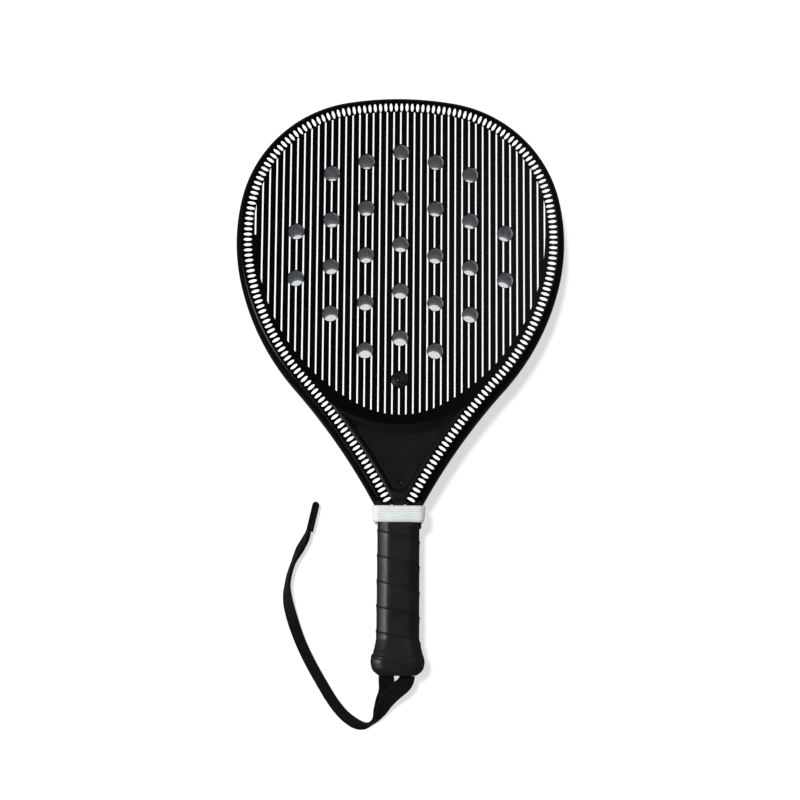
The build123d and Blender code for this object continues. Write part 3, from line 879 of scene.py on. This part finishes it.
def vary_colour(tree, shader, factor, low, high, start=0.3, end=0.7):
    """Gives the shader a colour between two ends, as the factor goes from start to end."""
    ramp = tree.nodes.new("ShaderNodeValToRGB")
    ramp.color_ramp.elements[0].position = start
    ramp.color_ramp.elements[0].color = (*low, 1)
    ramp.color_ramp.elements[1].position = end
    ramp.color_ramp.elements[1].color = (*high, 1)
    tree.links.new(factor, ramp.inputs["Fac"])
    tree.links.new(ramp.outputs["Color"], shader.inputs["Base Color"])


def vary_roughness(tree, shader, factor, low, high):
    """Gives the shader a roughness between low and high, as the factor goes from 0 to 1."""
    node = tree.nodes.new("ShaderNodeMapRange")
    node.inputs["To Min"].default_value = low
    node.inputs["To Max"].default_value = high
    tree.links.new(factor, node.inputs["Value"])
    tree.links.new(node.outputs["Result"], shader.inputs["Roughness"])


def add_bump(tree, shader, height, strength, distance):
    """Bumps of a height in metres, after any that the shader already has."""
    node = tree.nodes.new("ShaderNodeBump")
    node.inputs["Strength"].default_value = strength
    node.inputs["Distance"].default_value = distance
    tree.links.new(height, node.inputs["Height"])
    if shader.inputs["Normal"].is_linked:
        tree.links.new(shader.inputs["Normal"].links[0].from_socket, node.inputs["Normal"])
    tree.links.new(node.outputs["Normal"], shader.inputs["Normal"])


def satin_lacquer():
    """Satin black lacquer with faint clouds and a little orange peel."""
    material, tree, shader, place = start_material("satin_lacquer", (0.0007, 0.0007, 0.0008), 0.26, 0.22)
    vary_colour(tree, shader, noise(tree, place, 24), (0.0004, 0.0004, 0.0005), (0.0010, 0.0010, 0.0012))
    vary_roughness(tree, shader, noise(tree, place, 60), 0.22, 0.30)
    add_bump(tree, shader, noise(tree, place, 2600, 2), 0.12, 0.00006)
    return material


def throat_lacquer():
    """Matt moulded composite with a fine grain."""
    material, tree, shader, place = start_material("throat_matt", (0.012, 0.0115, 0.012), 0.5, 0.4)
    vary_colour(tree, shader, noise(tree, place, 90), (0.0045, 0.0043, 0.0046), (0.0072, 0.0069, 0.0073))
    vary_roughness(tree, shader, noise(tree, place, 300), 0.34, 0.44)
    add_bump(tree, shader, noise(tree, place, 3000, 3), 0.25, 0.00008)
    return material


def print_ink():
    """Opaque white ink, slightly cool and a little uneven."""
    material, tree, shader, place = start_material("print_ink", (0.85, 0.88, 0.9), 0.5, 0.3)
    vary_colour(tree, shader, noise(tree, place, 500), (0.90, 0.93, 0.95), (0.95, 0.97, 0.98))
    add_bump(tree, shader, noise(tree, place, 5000, 2), 0.1, 0.00003)
    return material


def core_foam():
    """Sawn foam, mottled in greys, with fine open cells."""
    material, tree, shader, place = start_material("core_foam", (0.06, 0.06, 0.063), 0.85, 0.25)
    cells = tree.nodes.new("ShaderNodeTexVoronoi")
    cells.inputs["Scale"].default_value = 1300
    tree.links.new(place, cells.inputs["Vector"])
    vary_colour(tree, shader, noise(tree, place, 1500, 4), (0.24, 0.25, 0.26), (0.85, 0.87, 0.9), 0.38, 0.66)
    add_bump(tree, shader, cells.outputs["Distance"], 0.6, 0.0003)
    return material


def stud_gloss():
    """Polished black with faint rubbing."""
    material, tree, shader, place = start_material("stud_gloss", (0.006, 0.006, 0.007), 0.12, 0.6)
    vary_roughness(tree, shader, noise(tree, place, 900, 2), 0.08, 0.2)
    vary_colour(tree, shader, noise(tree, place, 400), (0.005, 0.005, 0.006), (0.009, 0.009, 0.01))
    return material


def collar_rubber():
    """White rubber, matt, with slight cool clouds."""
    material, tree, shader, place = start_material("collar_rubber", (0.84, 0.86, 0.87), 0.55, 0.35)
    vary_colour(tree, shader, noise(tree, place, 160), (0.63, 0.66, 0.68), (0.71, 0.73, 0.74))
    add_bump(tree, shader, noise(tree, place, 5200, 2), 0.08, 0.00003)
    return material


def grip_leather():
    """Brown black wound grip: soft pebbled grain, patchy handling shine."""
    material, tree, shader, place = start_material("grip_leather", (0.009, 0.008, 0.0078), 0.4, 0.6)
    vary_colour(tree, shader, noise(tree, place, 70, 4), (0.007, 0.006, 0.006), (0.013, 0.011, 0.0105))
    vary_roughness(tree, shader, noise(tree, place, 220, 4), 0.32, 0.5)
    pebbles = tree.nodes.new("ShaderNodeTexVoronoi")
    pebbles.inputs["Scale"].default_value = 900
    tree.links.new(place, pebbles.inputs["Vector"])
    add_bump(tree, shader, pebbles.outputs["Distance"], 0.2, 0.00012)
    add_bump(tree, shader, noise(tree, place, 140, 5, 0.6), 0.25, 0.0006)
    return material


def strap_webbing():
    """Black woven webbing: crossed ribs along its length and across it, with a fuzzy sheen."""
    material, tree, shader, _ = start_material("strap_webbing", (0.006, 0.0075, 0.0085), 0.8, 0.2)
    where = tree.nodes.new("ShaderNodeUVMap")
    where.uv_map = "weave"
    waves = []
    for direction, scale in (("X", 162.5), ("Y", 200.0)):
        wave = tree.nodes.new("ShaderNodeTexWave")
        wave.bands_direction = direction
        wave.inputs["Scale"].default_value = scale
        wave.inputs["Distortion"].default_value = 0.6
        tree.links.new(where.outputs["UV"], wave.inputs["Vector"])
        waves.append(wave.outputs["Fac"])
    cross = tree.nodes.new("ShaderNodeMath")
    cross.operation = "MULTIPLY"
    tree.links.new(waves[0], cross.inputs[0])
    tree.links.new(waves[1], cross.inputs[1])
    vary_colour(tree, shader, cross.outputs[0], (0.0018, 0.0024, 0.0027), (0.006, 0.0075, 0.0085), 0.1, 0.9)
    shader.inputs["Sheen Weight"].default_value = 0.04
    shader.inputs["Sheen Roughness"].default_value = 0.4
    add_bump(tree, shader, cross.outputs[0], 0.6, 0.0002)
    return material


def plain_stuff(name, colour, roughness, grain):
    """Plain moulded or cut stuff of the pieces inside the handle, with a grain per metre."""
    material, tree, shader, place = start_material(name, colour, roughness, 0.4)
    darker = tuple(part * 0.7 for part in colour)
    vary_colour(tree, shader, noise(tree, place, grain), darker, colour)
    add_bump(tree, shader, noise(tree, place, grain * 4), 0.2, 0.0001)
    return material


def dress_pieces():
    """Gives every piece and every carried over node its finish."""
    lacquer, foam, ink, webbing, throat = (
        satin_lacquer(), core_foam(), print_ink(), strap_webbing(), throat_lacquer())
    looks = {
        "frame_ring": lacquer, "hole_edges": lacquer, "front_face_skin": lacquer, "back_face_skin": lacquer,
        "hole_walls": foam, "head_core": foam, "throat_core": foam, "throat_bridge": foam,
        "front_stripes": ink, "front_ovals": ink, "back_stripes": ink, "back_ovals": ink,
        "throat_front": throat, "throat_back": throat, "stud": stud_gloss(), "collar": collar_rubber(),
        "grip": grip_leather(), "strap_left": webbing, "strap_right": webbing, "strap_loop": webbing,
        "butt_cap": plain_stuff("cap_plastic", (0.012, 0.012, 0.013), 0.45, 400),
        "handle_shaft": plain_stuff("bare_composite", (0.03, 0.03, 0.032), 0.4, 300),
        "handle_core": plain_stuff("handle_foam", (0.06, 0.06, 0.06), 0.9, 900),
        "cushion_grip": plain_stuff("cushion_foam", (0.04, 0.04, 0.04), 0.9, 1200),
        "finishing_tape": plain_stuff("cloth_tape", (0.02, 0.02, 0.02), 0.8, 1500),
        "strap_inner_run": plain_stuff("inner_webbing", (0.01, 0.012, 0.013), 0.85, 1600),
    }
    for name, material in looks.items():
        piece = bpy.data.objects[name]
        piece.data.materials.clear()
        piece.data.materials.append(material)


# ---------------------------------------------------------------- studio
def build_floor():
    """Pale table that glows a little, as a light table does."""
    mesh = bpy.data.meshes.new("floor")
    side, z = 6.0, -0.0003
    corners = [(-side, -side, z), (side, -side, z), (side, side, z), (-side, side, z)]
    mesh.from_pydata(corners, [], [[0, 1, 2, 3]])
    floor = bpy.data.objects.new("floor", mesh)
    bpy.context.scene.collection.objects.link(floor)
    material = bpy.data.materials.new("light_table")
    material.use_nodes = True
    shader = material.node_tree.nodes["Principled BSDF"]
    shader.inputs["Base Color"].default_value = (0.36, 0.36, 0.36, 1)
    shader.inputs["Roughness"].default_value = 0.9
    shader.inputs["Specular IOR Level"].default_value = 0.0
    shader.inputs["Emission Color"].default_value = (1, 1, 1, 1)
    shader.inputs["Emission Strength"].default_value = 0.66
    mesh.materials.append(material)
    floor.visible_glossy = False


def add_panel(name, place, target, width, height, power):
    """Soft box at a place, turned to a target."""
    data = bpy.data.lights.new(name, "AREA")
    data.shape = "RECTANGLE"
    data.size, data.size_y = width, height
    data.energy = power
    light = bpy.data.objects.new(name, data)
    light.location = place
    light.rotation_euler = (Vector(target) - Vector(place)).to_track_quat("-Z", "Y").to_euler()
    bpy.context.scene.collection.objects.link(light)


def light_studio():
    """A high key light from the upper left, soft boxes round the racket, and a dim room.

    The key light gives no mirror image, so the lacquer only shows the soft boxes.
    """
    key = bpy.data.lights.new("key", "SUN")
    key.energy = 3.0
    key.angle = math.radians(8)
    sun = bpy.data.objects.new("key", key)
    sun.rotation_euler = Vector((0.21, -0.21, -1.0)).to_track_quat("-Z", "Y").to_euler()
    sun.visible_glossy = False
    bpy.context.scene.collection.objects.link(sun)
    add_panel("left_box", (-1.8, -0.35, 0.85), (0, -0.1, 0), width=0.7, height=1.4, power=22)
    add_panel("right_sheen_box", (0.78, 0.72, 2.2), (0.1, 0.1, 0), width=0.7, height=1.1, power=2.1)
    world = bpy.data.worlds.new("room")
    world.use_nodes = True
    background = world.node_tree.nodes["Background"]
    background.inputs["Color"].default_value = (1, 1, 1, 1)
    background.inputs["Strength"].default_value = 0.05
    bpy.context.scene.world = world


aim_camera()
build_strap()
build_frame()
build_hole_edges()
build_hole_walls()
build_prints()
build_throat(True)
build_throat(False)
build_stud()
build_collar()
build_grip()
dress_pieces()
build_floor()
light_studio()
bpy.context.scene.view_settings.view_transform = "Standard"
